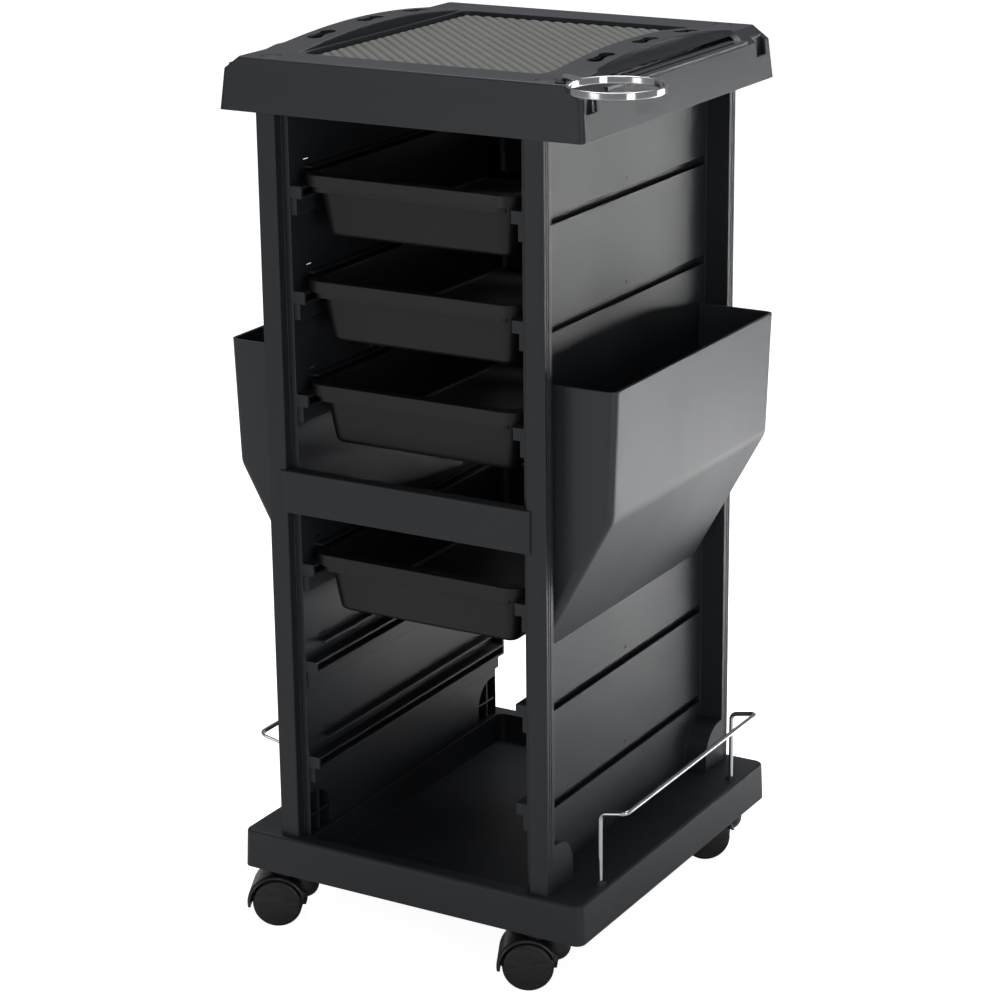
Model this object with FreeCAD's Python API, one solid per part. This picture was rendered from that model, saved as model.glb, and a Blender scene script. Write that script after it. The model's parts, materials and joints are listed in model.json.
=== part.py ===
"""Salon and spa trolley cart: moulded plastic frame, four sliding trays, two hang-on
side bins, a ribbed work top, a swivelling dryer ring, wire guards and twin-wheel casters.

Millimetres, +Z up.  The open front faces -Y and +X is the cart's right-hand side as seen
from the front.  Shapes are drawn about the floor point under the middle of the base.  On
saving they move so that the origin is the floor point under the middle of the whole
outline, which includes the dryer ring and the trailing casters.
"""
import FreeCAD, Part
import math
import os
from FreeCAD import Vector

# ---------------------------------------------------------------- driving dimensions
# Middle of the whole outline, measured from the middle of the base
OUTLINE_MIDDLE = (31.0, -25.0)

# Levels above the floor
BASE_UNDERSIDE_Z = 64.0
BASE_TOP_Z = 103.5
TUB_FLOOR_Z = 73.0
SKIRT_BOTTOM_Z = 828.0
CHAMFER_Z = 866.0
DECK_TOP_Z = 878.0
RIDGE_TOP_Z = 888.0
RUNNER_LEVELS = (754.0, 653.5, 553.0, 383.0, 282.5, 182.0)
TRAY_LEVELS = RUNNER_LEVELS[:4]

# Side frames
BODY_HALF_WIDTH = 152.0
BODY_HALF_DEPTH = 194.0
POST_FACE = 20.5
POST_SIDE = 14.0
PANEL_OUTER_X = 127.0
PANEL_THICKNESS = 3.0
WALL = 3.0
SLOT_HEIGHT = 9.0
SLOT_POCKET = 5.5
SLOT_DEPTH = 4.0
CHANNEL_WALL = 1.5
RUNNER_INNER_X = 112.0
RUNNER_HEIGHT = 12.0
FOOT_LENGTH = 36.0
FOOT_HEIGHT = 47.0
FOOT_RADIUS = 30.0
FLANGE_TOP_Z = DECK_TOP_Z - 3.2
POST_HEAD_Z = 869.9
DECK_LEG_Z = POST_HEAD_Z + 0.1

# Base
BASE_HALF_WIDTH = 191.5
BASE_HALF_DEPTH = 202.5
BASE_FLARE = 1.3
BASE_CORNER_RADIUS = 9.0
TUB_HALF_WIDTH = 121.0
TUB_FRONT_Y = -187.0
TUB_BACK_Y = 186.0

# Work top
DECK_HALF_WIDTH = 192.5
DECK_HALF_DEPTH = 195.0
DECK_DRAFT = 3.6
DECK_CHAMFER_WIDTH = 16.6
DECK_CORNER_RADIUS = 5.0
MAT_HALF_WIDTH = 127.0
MAT_FRONT_Y = -150.0
MAT_BACK_Y = 145.0
MAT_RECESS = 7.0
PANEL_TOP_Z = DECK_TOP_Z - MAT_RECESS - 3.1
RIDGE_INNER_X = 131.0
RIDGE_OUTER_X = 168.0
RIDGE_HALF_LENGTH = 150.0
NOTCH_YS = (-175.0, 169.0)
NOTCH_WIDTH = 20.0
NOTCH_LOW_Z = 852.0
TROUGH_RADIUS = 19.0
TROUGH_YS = (-118.0, 131.0)
TOOL_HOLE_X = 150.0
TOOL_LOBE_RADIUS = 7.6
TOOL_LOBE_OFFSET = 11.0
TOOL_WEB = 5.0
INSERT_WALL = 1.3
INSERT_LOW_Z = DECK_TOP_Z - 11.0
TOOL_HOLE_YS = (-83.0, 3.0, 87.0)
CAP_X = 145.0
CAP_Y = 175.6
CAP_RADIUS = 9.5
CAP_THICKNESS = 1.5
DECK_SKIN = 3.1

# Trays
TRAY_RIM_HALF_WIDTH = 118.0
TRAY_FRONT_Y = -178.5
TRAY_BACK_Y = 178.5
TRAY_RIM_HEIGHT = 11.5
TRAY_DEPTH = 61.0
TRAY_WALL = 2.2
BOWL_LOW = (99.0, 160.0, 11.0)
BOWL_TOP = (109.0, 169.0, 16.0)

# Side bins
BIN_OUTER_X = 210.0
BIN_BEND_X = 205.0
BIN_INNER_X = 127.6
BIN_RIM_Z = 600.0
BIN_BEND_Z = 476.0
BIN_BACK_Z = 545.0
BIN_LOW_Z = 336.0
BIN_HALF_LENGTH = 168.0
BIN_WALL = 2.6
BIN_HOOK_LEVEL = RUNNER_LEVELS[2]
BIN_HOOK_YS = (-110.0, 0.0, 110.0)

# Cross rails between the side frames
RAIL_LOW_Z = 444.0
RAIL_TOP_Z = 486.0
RAIL_DEPTH = 10.9

# Chrome wire and ring
GUARD_WIRE_RADIUS = 2.3
GUARD_FOOT = (181.0, 143.0)
GUARD_SHOULDER_Z = 176.0
GUARD_BAR_X = 209.0
GUARD_BAR_Z = 181.5
RING_PIN = (165.0, -180.0)
RING_CENTRE = (233.5, -211.0)
RING_Z = 883.5
RING_RADIUS = 43.5
RING_BAND = 2.6
RING_HEIGHT = 6.6
RING_ROD_RADIUS = 2.8
BUSH_RADIUS = 5.2
BUSH_LENGTH = 34.0
PIN_LENGTH = 26.0

# Casters
FRONT_CASTER = (145.0, -166.0)
BACK_CASTER = (158.0, 186.0)
WHEEL_RADIUS = 25.0
WHEEL_WIDTH = 18.0
WHEEL_GAP = 8.0
CASTER_OFFSET = 26.0
STEM_RADIUS = 5.0
STEM_TOP_Z = 96.0
STEM_LOW_Z = 42.0
STEM_SEAT_Z = BASE_UNDERSIDE_Z - 0.5
SOCKET_RADIUS = 7.0
SOCKET_LENGTH = 34.0
AXLE_RADIUS = 3.0
RUNNING_GAP = 0.05
WHEEL_CLEARANCE = 2.2
FENDER_TAIL_Z = 21.0
FENDER_STEM_Z = 33.0
HOUSING_RADIUS = 14.5
HOUSING_BALL_Z = 40.0
# Each caster is drawn at the origin with its wheels trailing towards -X, then turned.
WHEEL_CENTRE = (-CASTER_OFFSET, 0.0, WHEEL_RADIUS)
CASTERS = {
    "front_left": (-FRONT_CASTER[0], FRONT_CASTER[1], 26.0),
    "front_right": (FRONT_CASTER[0], FRONT_CASTER[1], 26.0),
    "back_left": (-BACK_CASTER[0], BACK_CASTER[1], 36.0),
    "back_right": (BACK_CASTER[0], BACK_CASTER[1], 36.0),
}

# Screws
SCREW_RADIUS = 2.0
SCREW_HOLE = SCREW_RADIUS + 0.02
SCREW_HEAD_RADIUS = 3.6
SCREW_HEAD_HEIGHT = 2.2
HEAD_ROOM_RADIUS = 4.2
RAIL_SCREW_Y = 187.0
RAIL_SCREW_ZS = (455.0, 475.0)
FRAME_SCREW = (141.0, 188.0)
FRAME_SCREW_SEAT_Z = 94.0
DECK_SCREW_SEAT_Z = 873.0

os.makedirs("parts", exist_ok=True)


# ---------------------------------------------------------------- helpers
def box(x0, x1, y0, y1, z0, z1):
    """Axis-aligned block between two corners."""
    return Part.makeBox(x1 - x0, y1 - y0, z1 - z0, Vector(x0, y0, z0))


def cylinder(radius, height, x, y, z, axis=(0, 0, 1)):
    return Part.makeCylinder(radius, height, Vector(x, y, z), Vector(*axis))


def mirrored(shape):
    """The same piece on the cart's left-hand side."""
    return shape.mirror(Vector(0, 0, 0), Vector(1, 0, 0))


def union(shapes):
    return shapes[0].multiFuse(shapes[1:]).removeSplitter()


def rounded_rectangle(x0, x1, y0, y1, radius, z):
    """Closed horizontal wire with four round corners."""
    corners = ((x1, y0, -90), (x1, y1, 0), (x0, y1, 90), (x0, y0, 180))
    edges = []
    points = []
    for x, y, start in corners:
        cx = x - math.copysign(radius, x - (x0 + x1) / 2)
        cy = y - math.copysign(radius, y - (y0 + y1) / 2)
        circle = Part.Circle(Vector(cx, cy, z), Vector(0, 0, 1), radius)
        arc = Part.Arc(circle, math.radians(start), math.radians(start + 90))
        points.append((arc.StartPoint, arc.EndPoint, arc.toShape()))
    for index, (_, end, arc) in enumerate(points):
        edges.append(arc)
        edges.append(Part.makeLine(end, points[(index + 1) % 4][0]))
    return Part.Wire(edges)


def tapered_block(sections):
    """Solid through rounded rectangles, each (x0, x1, y0, y1, radius, z)."""
    wires = [rounded_rectangle(*section) for section in sections]
    return Part.makeLoft(wires, True, True)


def centred(half_x, half_y, radius, z):
    return (-half_x, half_x, -half_y, half_y, radius, z)


def prism(points, direction):
    """Extruded polygon."""
    outline = Part.makePolygon([Vector(*point) for point in points + points[:1]])
    return Part.Face(outline).extrude(Vector(*direction))


def soften(shape, radius, wanted):
    """Round the edges for which wanted(edge bounding box) is true."""
    edges = [edge for edge in shape.Edges if wanted(edge.BoundBox)]
    return shape.makeFillet(radius, edges)


def wire_sweep(points, bend_radius, radius):
    """Round bar along a path with rounded bends."""
    corners = [Vector(*point) for point in points]
    edges = []
    start = corners[0]
    for before, corner, after in zip(corners, corners[1:], corners[2:]):
        back = (before - corner).normalize()
        ahead = (after - corner).normalize()
        half_angle = back.getAngle(ahead) / 2
        reach = bend_radius / math.tan(half_angle)
        first = corner + back * reach
        last = corner + ahead * reach
        centre = corner + (back + ahead).normalize() * (bend_radius / math.sin(half_angle))
        middle = centre + (corner - centre).normalize() * bend_radius
        edges.append(Part.makeLine(start, first))
        edges.append(Part.Arc(first, middle, last).toShape())
        start = last
    edges.append(Part.makeLine(start, corners[-1]))
    path = Part.Wire(edges)
    profile = Part.Wire(Part.Circle(corners[0], corners[1] - corners[0], radius).toShape())
    return path.makePipeShell([profile], True, False)


def save(name, shapes):
    """Write one node; a list is kept as a group of separate solids."""
    shape = Part.makeCompound(shapes) if isinstance(shapes, list) else shapes.copy()
    shape.translate(Vector(-OUTLINE_MIDDLE[0], -OUTLINE_MIDDLE[1], 0))
    shape.exportStep("parts/" + name + ".step")


# ---------------------------------------------------------------- base
def tub(grow):
    """The sunken well between the side frames, grown outwards by grow."""
    return tapered_block([
        (-TUB_HALF_WIDTH + 1.5 - grow, TUB_HALF_WIDTH - 1.5 + grow,
         TUB_FRONT_Y + 1.5 - grow, TUB_BACK_Y - 1.5 + grow, 8, TUB_FLOOR_Z - grow),
        (-TUB_HALF_WIDTH - grow, TUB_HALF_WIDTH + grow,
         TUB_FRONT_Y - grow, TUB_BACK_Y + grow, 8, BASE_TOP_Z + 1)])


def base_outer(inset, z_low, z_high):
    slope = BASE_FLARE * (BASE_TOP_Z - z_low) / (BASE_TOP_Z - BASE_UNDERSIDE_Z)
    radius = BASE_CORNER_RADIUS - inset * 0.8
    return tapered_block([
        centred(BASE_HALF_WIDTH + slope - inset, BASE_HALF_DEPTH + slope - inset, radius, z_low),
        centred(BASE_HALF_WIDTH - inset, BASE_HALF_DEPTH - inset, radius, z_high)])


def base_ribs():
    """Stiffening ribs and bosses under the deck and the tub floor."""
    ribs = []
    for x in (-160, 160):
        ribs.append(box(x - 1.2, x + 1.2, -199, 199, 72, BASE_TOP_Z - 2))
    for y in (-90, 0, 90):
        for side in (-1, 1):
            low, high = sorted((side * 122, side * 189))
            ribs.append(box(low, high, y - 1.2, y + 1.2, 72, BASE_TOP_Z - 2))
        ribs.append(box(-122, 122, y - 1.2, y + 1.2, BASE_UNDERSIDE_Z + 1, 71))
    for x, y, _ in CASTERS.values():
        ribs.append(cylinder(11, BASE_TOP_Z - 2 - BASE_UNDERSIDE_Z, x, y, BASE_UNDERSIDE_Z))
    for x in (-GUARD_FOOT[0], GUARD_FOOT[0]):
        for y in (-GUARD_FOOT[1], GUARD_FOOT[1]):
            ribs.append(cylinder(5.5, 24, x, y, BASE_TOP_Z - 25))
    return ribs


def base_tray():
    outer = base_outer(0, BASE_UNDERSIDE_Z, BASE_TOP_Z)
    outer = soften(outer, 3.5, lambda b: b.ZMin > BASE_TOP_Z - 0.01)
    outer = outer.cut(tub(0))
    hollow = base_outer(3.5, BASE_UNDERSIDE_Z - 1, BASE_TOP_Z - 3.5).cut(tub(3))
    body = union([outer.cut(hollow)] + base_ribs())
    collars = []
    seats = []
    holes = [cylinder(SOCKET_RADIUS, SOCKET_LENGTH, x, y, BASE_UNDERSIDE_Z)
             for x, y, _ in CASTERS.values()]
    for sx in (-1, 1):
        for sy in (-1, 1):
            x, y = sx * GUARD_FOOT[0], sy * GUARD_FOOT[1]
            collars.append(Part.makeCone(6.2, 4.2, 3.0, Vector(x, y, BASE_TOP_Z - 0.2)))
            holes.append(cylinder(GUARD_WIRE_RADIUS + RUNNING_GAP, 22, x, y, BASE_TOP_Z - 18))
            x, y = sx * FRAME_SCREW[0], sy * FRAME_SCREW[1]
            seats.append(cylinder(HEAD_ROOM_RADIUS + 2.2, BASE_TOP_Z - WALL - FRAME_SCREW_SEAT_Z,
                                  x, y, FRAME_SCREW_SEAT_Z))
            holes.append(cylinder(SCREW_HOLE, BASE_TOP_Z + 1 - FRAME_SCREW_SEAT_Z,
                                  x, y, FRAME_SCREW_SEAT_Z))
            holes.append(cylinder(HEAD_ROOM_RADIUS, FRAME_SCREW_SEAT_Z - BASE_UNDERSIDE_Z - 1,
                                  x, y, BASE_UNDERSIDE_Z + 1))
    # raised drip line moulded across the front of the tub floor
    collars.append(box(-62, -14, -122.2, -120.8, TUB_FLOOR_Z - 0.5, TUB_FLOOR_Z + 1.2))
    body = union([body] + collars + seats)
    for hole in holes:
        body = body.cut(hole)
    return body


# ---------------------------------------------------------------- side frames
def post(sign):
    """Front (sign -1) or back (sign 1) upright, a hollow moulding with a grooved side."""
    outer_y = sign * BODY_HALF_DEPTH
    inner_y = sign * (BODY_HALF_DEPTH - POST_SIDE)
    low, high = sorted((outer_y, inner_y))
    inner_x = BODY_HALF_WIDTH - POST_FACE
    column = box(inner_x, BODY_HALF_WIDTH, low, high, BASE_TOP_Z, SKIRT_BOTTOM_Z)
    column = soften(column, 1.6, lambda b: b.ZLength > 100 and abs(b.YMin - outer_y) < 0.1)
    for offset in (4.6, 8.2):
        groove_y = outer_y - sign * offset
        column = column.cut(box(BODY_HALF_WIDTH - 0.9, BODY_HALF_WIDTH + 1,
                                groove_y - 0.7, groove_y + 0.7, BASE_TOP_Z - 1, SKIRT_BOTTOM_Z + 1))
    return column


def post_hollow(sign):
    low, high = sorted((sign * (BODY_HALF_DEPTH - WALL), sign * (BODY_HALF_DEPTH - POST_SIDE + WALL)))
    return box(BODY_HALF_WIDTH - POST_FACE + WALL, BODY_HALF_WIDTH - WALL, low, high,
               BASE_TOP_Z + 30, SKIRT_BOTTOM_Z - 20)


def post_head(sign):
    """Block above each post that reaches up inside the deck skirt and takes its screw."""
    low, high = sorted((sign * 188.0, sign * 166.0))
    return box(BODY_HALF_WIDTH - POST_FACE, BODY_HALF_WIDTH - 1, low, high,
               SKIRT_BOTTOM_Z, POST_HEAD_Z)


def foot(sign, inset):
    """Rounded gusset that spreads each post where it stands on the base."""
    root_y = BODY_HALF_DEPTH - POST_SIDE + inset
    toe_y = BODY_HALF_DEPTH - POST_SIDE - FOOT_LENGTH + inset
    top_z = BASE_TOP_Z + FOOT_HEIGHT - inset
    radius = FOOT_RADIUS - inset
    x0 = PANEL_OUTER_X - PANEL_THICKNESS - (1 if inset else 0)
    x1 = BODY_HALF_WIDTH - inset
    corner = Vector(x0, sign * (toe_y + radius), top_z - radius)
    middle = corner + Vector(0, -sign * radius * math.sqrt(0.5), radius * math.sqrt(0.5))
    start = Vector(x0, sign * toe_y, top_z - radius)
    end = Vector(x0, sign * (toe_y + radius), top_z)
    low = Vector(x0, sign * toe_y, BASE_TOP_Z)
    low_root = Vector(x0, sign * root_y, BASE_TOP_Z)
    high_root = Vector(x0, sign * root_y, top_z)
    edges = [Part.makeLine(low, start), Part.Arc(start, middle, end).toShape(),
             Part.makeLine(end, high_root), Part.makeLine(high_root, low_root),
             Part.makeLine(low_root, low)]
    return Part.Face(Part.Wire(edges)).extrude(Vector(x1 - x0, 0, 0))


def foot_ribs(sign):
    """Cross ribs inside the hollow gusset, seen from inside the cart."""
    low, high = sorted((sign * (BODY_HALF_DEPTH - POST_SIDE), sign * 148.0))
    middle = sign * 166.0
    return [box(PANEL_OUTER_X - 2, 150, low, high, 122, 124),
            box(PANEL_OUTER_X - 2, 150, middle - 1, middle + 1, BASE_TOP_Z, 146)]


def runner(level):
    """C-channel that carries a tray rim, closed at the front and stopped at the back."""
    top = level + RUNNER_HEIGHT / 2
    low = level - RUNNER_HEIGHT / 2
    inner = PANEL_OUTER_X - PANEL_THICKNESS + 0.5
    back = BODY_HALF_DEPTH - POST_SIDE
    rim_top = top + TRAY_RIM_HEIGHT
    return [box(RUNNER_INNER_X, inner, -back - 2, back, top - 2.5, top),
            box(RUNNER_INNER_X, inner, -back - 2, back, low, low + 2.5),
            box(RUNNER_INNER_X, inner + 4, -back - 2, -back + 1, low, top),
            box(RUNNER_INNER_X, inner, back - 0.8, back + 2, low, top + 9),
            box(RUNNER_INNER_X + 3, inner, -160, 160, rim_top + 1.4, rim_top + 3.6)]


def slot_channel(level):
    """Closed channel behind a slot, so that a hook can drop behind the slat below it."""
    top = level - RUNNER_HEIGHT / 2
    low = top - SLOT_HEIGHT - SLOT_POCKET
    inner = PANEL_OUTER_X - PANEL_THICKNESS
    return box(inner - SLOT_DEPTH - CHANNEL_WALL, inner + 0.5, -180.5, 180.5,
               low - CHANNEL_WALL, top + 0.5)


def slot_opening(level):
    """Slot through the panel and the deeper pocket inside its channel."""
    top = level - RUNNER_HEIGHT / 2
    low = top - SLOT_HEIGHT
    inner = PANEL_OUTER_X - PANEL_THICKNESS
    opening = box(inner - SLOT_DEPTH, PANEL_OUTER_X + 1, -179, 179, low, top)
    return opening.fuse(box(inner - SLOT_DEPTH, inner, -179, 179, low - SLOT_POCKET, top))


def right_frame():
    panel_y = BODY_HALF_DEPTH - POST_SIDE + 1
    inner_x = PANEL_OUTER_X - PANEL_THICKNESS
    panel = box(inner_x, PANEL_OUTER_X, -panel_y, panel_y, BASE_TOP_Z, PANEL_TOP_Z)
    solids = [panel]
    for sign in (-1, 1):
        low, high = sorted((sign * (BODY_HALF_DEPTH - POST_SIDE),
                            sign * (BODY_HALF_DEPTH - POST_SIDE + WALL)))
        solids.append(post(sign))
        solids.append(box(inner_x, 134, low, high, BASE_TOP_Z, FLANGE_TOP_Z))
        solids.append(post_head(sign))
        solids.append(foot(sign, 0))
    body = union(solids)
    for sign in (-1, 1):
        body = body.cut(foot(sign, 2.5))
        body = body.cut(post_hollow(sign))
    details = []
    for sign in (-1, 1):
        details += foot_ribs(sign)
    for level in RUNNER_LEVELS:
        details += runner(level)
        details.append(slot_channel(level))
    body = union([body] + details)
    for level in RUNNER_LEVELS:
        body = body.cut(slot_opening(level))
        body = body.cut(cylinder(1.5, 1, PANEL_OUTER_X - 0.6, 10, level + 2, (1, 0, 0)))
        body = body.cut(box(inner_x - 1, PANEL_OUTER_X + 1, -159, -147, level + 25.4, level + 27))
    for sign in (-1, 1):
        body = body.cut(cylinder(SCREW_HOLE, 16, FRAME_SCREW[0], sign * FRAME_SCREW[1], BASE_TOP_Z))
        body = body.cut(cylinder(SCREW_HOLE, 13, CAP_X, sign * CAP_Y, POST_HEAD_Z - 13))
        for z in RAIL_SCREW_ZS:
            body = body.cut(cylinder(SCREW_HOLE, 12, 126, sign * RAIL_SCREW_Y, z, (1, 0, 0)))
    return body


# ---------------------------------------------------------------- cross rails
def cross_rail(sign):
    """Channel between the posts; its face plate laps the posts by a few millimetres."""
    half = BODY_HALF_WIDTH - POST_FACE
    face_low, face_high = sorted((sign * BODY_HALF_DEPTH, sign * (BODY_HALF_DEPTH + 2.4)))
    web_low, web_high = sorted((sign * (BODY_HALF_DEPTH + 1), sign * (BODY_HALF_DEPTH - 2.5)))
    deep_low, deep_high = sorted((sign * BODY_HALF_DEPTH, sign * (BODY_HALF_DEPTH - RAIL_DEPTH)))
    plate = box(-half - 5, half + 5, face_low, face_high, RAIL_LOW_Z, RAIL_TOP_Z)
    plate = soften(plate, 1.2, lambda b: abs(b.YMin - sign * (BODY_HALF_DEPTH + 2.4)) < 0.01
                   and b.YLength < 0.01)
    solids = [plate, box(-half + 0.1, half - 0.1, web_low, web_high, RAIL_LOW_Z, RAIL_TOP_Z)]
    for z in (RAIL_LOW_Z, RAIL_TOP_Z - 2.5):
        solids.append(box(-half + 0.1, half - 0.1, deep_low, deep_high, z, z + 2.5))
    for x in (-half + 0.1, half - 3.1):
        solids.append(box(x, x + 3, deep_low, deep_high, RAIL_LOW_Z, RAIL_TOP_Z))
    for x in (-80, 0, 80):
        solids.append(box(x - 1, x + 1, deep_low, deep_high, RAIL_LOW_Z, RAIL_TOP_Z))
    body = union(solids)
    for x in (-half - 1, half - 5):
        for z in RAIL_SCREW_ZS:
            body = body.cut(cylinder(SCREW_HOLE, 6, x, sign * RAIL_SCREW_Y, z, (1, 0, 0)))
    return body


def pan_head_screw(x, y, z, axis, length):
    """Cross-recess screw with its head seated at the given point; axis is the way it drives."""
    drive = Vector(*axis)
    seat = Vector(x, y, z)
    top = seat - drive * SCREW_HEAD_HEIGHT
    shank = Part.makeCylinder(SCREW_RADIUS, length, seat, drive)
    head = Part.makeCylinder(SCREW_HEAD_RADIUS, SCREW_HEAD_HEIGHT, top, drive)
    head = head.makeFillet(0.9, [edge for edge in head.Edges
                                 if (edge.CenterOfMass - top).Length < 0.01
                                 and edge.Curve.TypeId == "Part::GeomCircle"])
    screw = shank.fuse(head).removeSplitter()
    side = Vector(0, 0, 1) if abs(drive.z) < 0.5 else Vector(1, 0, 0)
    other = drive.cross(side)
    for along, across in ((side, other), (other, side)):
        corner = top - drive * 0.2 - along * 1.7 - across * 0.35
        slot = Part.makePolygon([corner, corner + along * 3.4, corner + along * 3.4 + across * 0.7,
                                 corner + across * 0.7, corner])
        screw = screw.cut(Part.Face(slot).extrude(drive * 1.3))
    return screw


def rail_screws():
    half = BODY_HALF_WIDTH - POST_FACE - 3.1
    return [pan_head_screw(sx * half, sy * RAIL_SCREW_Y, z, (sx, 0, 0), 6.0)
            for sx in (-1, 1) for sy in (-1, 1) for z in RAIL_SCREW_ZS]


def frame_screws():
    return [pan_head_screw(sx * FRAME_SCREW[0], sy * FRAME_SCREW[1], FRAME_SCREW_SEAT_Z,
                           (0, 0, 1), 24.0)
            for sx in (-1, 1) for sy in (-1, 1)]


def deck_screws():
    return [pan_head_screw(sx * CAP_X, sy * CAP_Y, DECK_SCREW_SEAT_Z, (0, 0, -1), 15.0)
            for sx in (-1, 1) for sy in (-1, 1)]


# ---------------------------------------------------------------- work top
def deck_block(inset, z_low, z_top):
    """Deck outline: straight skirt with a little draft, then a chamfer on each side."""
    radius = max(DECK_CORNER_RADIUS - inset, 2.0)
    lower = centred(DECK_HALF_WIDTH - inset, DECK_HALF_DEPTH - inset, radius, z_low)
    middle = centred(DECK_HALF_WIDTH - DECK_DRAFT - inset, DECK_HALF_DEPTH - DECK_DRAFT - inset,
                     radius, CHAMFER_Z - inset * 0.3)
    upper = centred(DECK_HALF_WIDTH - DECK_DRAFT - DECK_CHAMFER_WIDTH - inset * 0.6,
                    DECK_HALF_DEPTH - DECK_DRAFT - 0.8 - inset, radius, z_top)
    return tapered_block([lower, middle]).fuse(tapered_block([middle, upper])).removeSplitter()


def ridge():
    """Arched tool ridge along the right-hand side of the deck."""
    rise = RIDGE_TOP_Z - DECK_TOP_Z
    half = RIDGE_HALF_LENGTH
    arc = Part.Arc(Vector(RIDGE_INNER_X, -half, DECK_TOP_Z), Vector(RIDGE_INNER_X, 0, DECK_TOP_Z + rise),
                   Vector(RIDGE_INNER_X, half, DECK_TOP_Z)).toShape()
    bottom = [Vector(RIDGE_INNER_X, half, DECK_TOP_Z), Vector(RIDGE_INNER_X, half, DECK_TOP_Z - 4),
              Vector(RIDGE_INNER_X, -half, DECK_TOP_Z - 4), Vector(RIDGE_INNER_X, -half, DECK_TOP_Z)]
    edges = [arc] + [Part.makeLine(a, b) for a, b in zip(bottom, bottom[1:])]
    solid = Part.Face(Part.Wire(edges)).extrude(Vector(RIDGE_OUTER_X - RIDGE_INNER_X + 4, 0, 0))
    return soften(solid, 2.0, lambda b: b.YLength > 200 and b.ZMax > DECK_TOP_Z + 5)


def trough():
    """Scooped hand grip between the ridge and the side skirt."""
    front, back = TROUGH_YS
    centre_x = RIDGE_OUTER_X + 16.5
    floor_z = CHAMFER_Z + 3.0
    centre_z = floor_z + TROUGH_RADIUS
    scoop = cylinder(TROUGH_RADIUS, back - front, centre_x, front, centre_z, (0, 1, 0))
    ends = [Part.makeSphere(TROUGH_RADIUS, Vector(centre_x, y, centre_z)) for y in (front, back)]
    shelf = box(centre_x, DECK_HALF_WIDTH + 5, front, back, floor_z, DECK_TOP_Z + 20)
    groove = box(centre_x - 4.5, centre_x - 2.3, front + 14, back - 3, floor_z - 2.4, floor_z + 3)
    return [scoop] + ends + [shelf, groove]


def lobed_slot(y, inset, z_low, z_high):
    """Slot with two round lobes, as a solid; inset makes it smaller."""
    height = z_high - z_low
    lobes = [cylinder(TOOL_LOBE_RADIUS - inset, height, TOOL_HOLE_X, y + dy, z_low)
             for dy in (-TOOL_LOBE_OFFSET, TOOL_LOBE_OFFSET)]
    web = TOOL_WEB - inset
    return union(lobes + [box(TOOL_HOLE_X - web, TOOL_HOLE_X + web, y - TOOL_LOBE_OFFSET,
                              y + TOOL_LOBE_OFFSET, z_low, z_high)])


def ridge_height(y):
    """Height of the arched ridge above the floor at one place along it."""
    return DECK_TOP_Z + (RIDGE_TOP_Z - DECK_TOP_Z) * (1 - (y / RIDGE_HALF_LENGTH) ** 2)


def tool_inserts():
    """Black sleeves pressed into the six tool slots, just below the surface."""
    sleeves = []
    for y in TOOL_HOLE_YS:
        top = ridge_height(y) - 1.6
        sleeve = lobed_slot(y, 0, INSERT_LOW_Z, top)
        sleeve = sleeve.cut(lobed_slot(y, INSERT_WALL, INSERT_LOW_Z - 1, top + 1))
        sleeves += [sleeve, mirrored(sleeve)]
    return sleeves


def mat_recess(grow, z_low, z_high):
    return tapered_block([
        (-MAT_HALF_WIDTH - grow, MAT_HALF_WIDTH + grow, MAT_FRONT_Y - grow, MAT_BACK_Y + grow, 9, z_low),
        (-MAT_HALF_WIDTH - grow - 1, MAT_HALF_WIDTH + grow + 1, MAT_FRONT_Y - grow - 1,
         MAT_BACK_Y + grow + 1, 9, z_high)])


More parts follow.
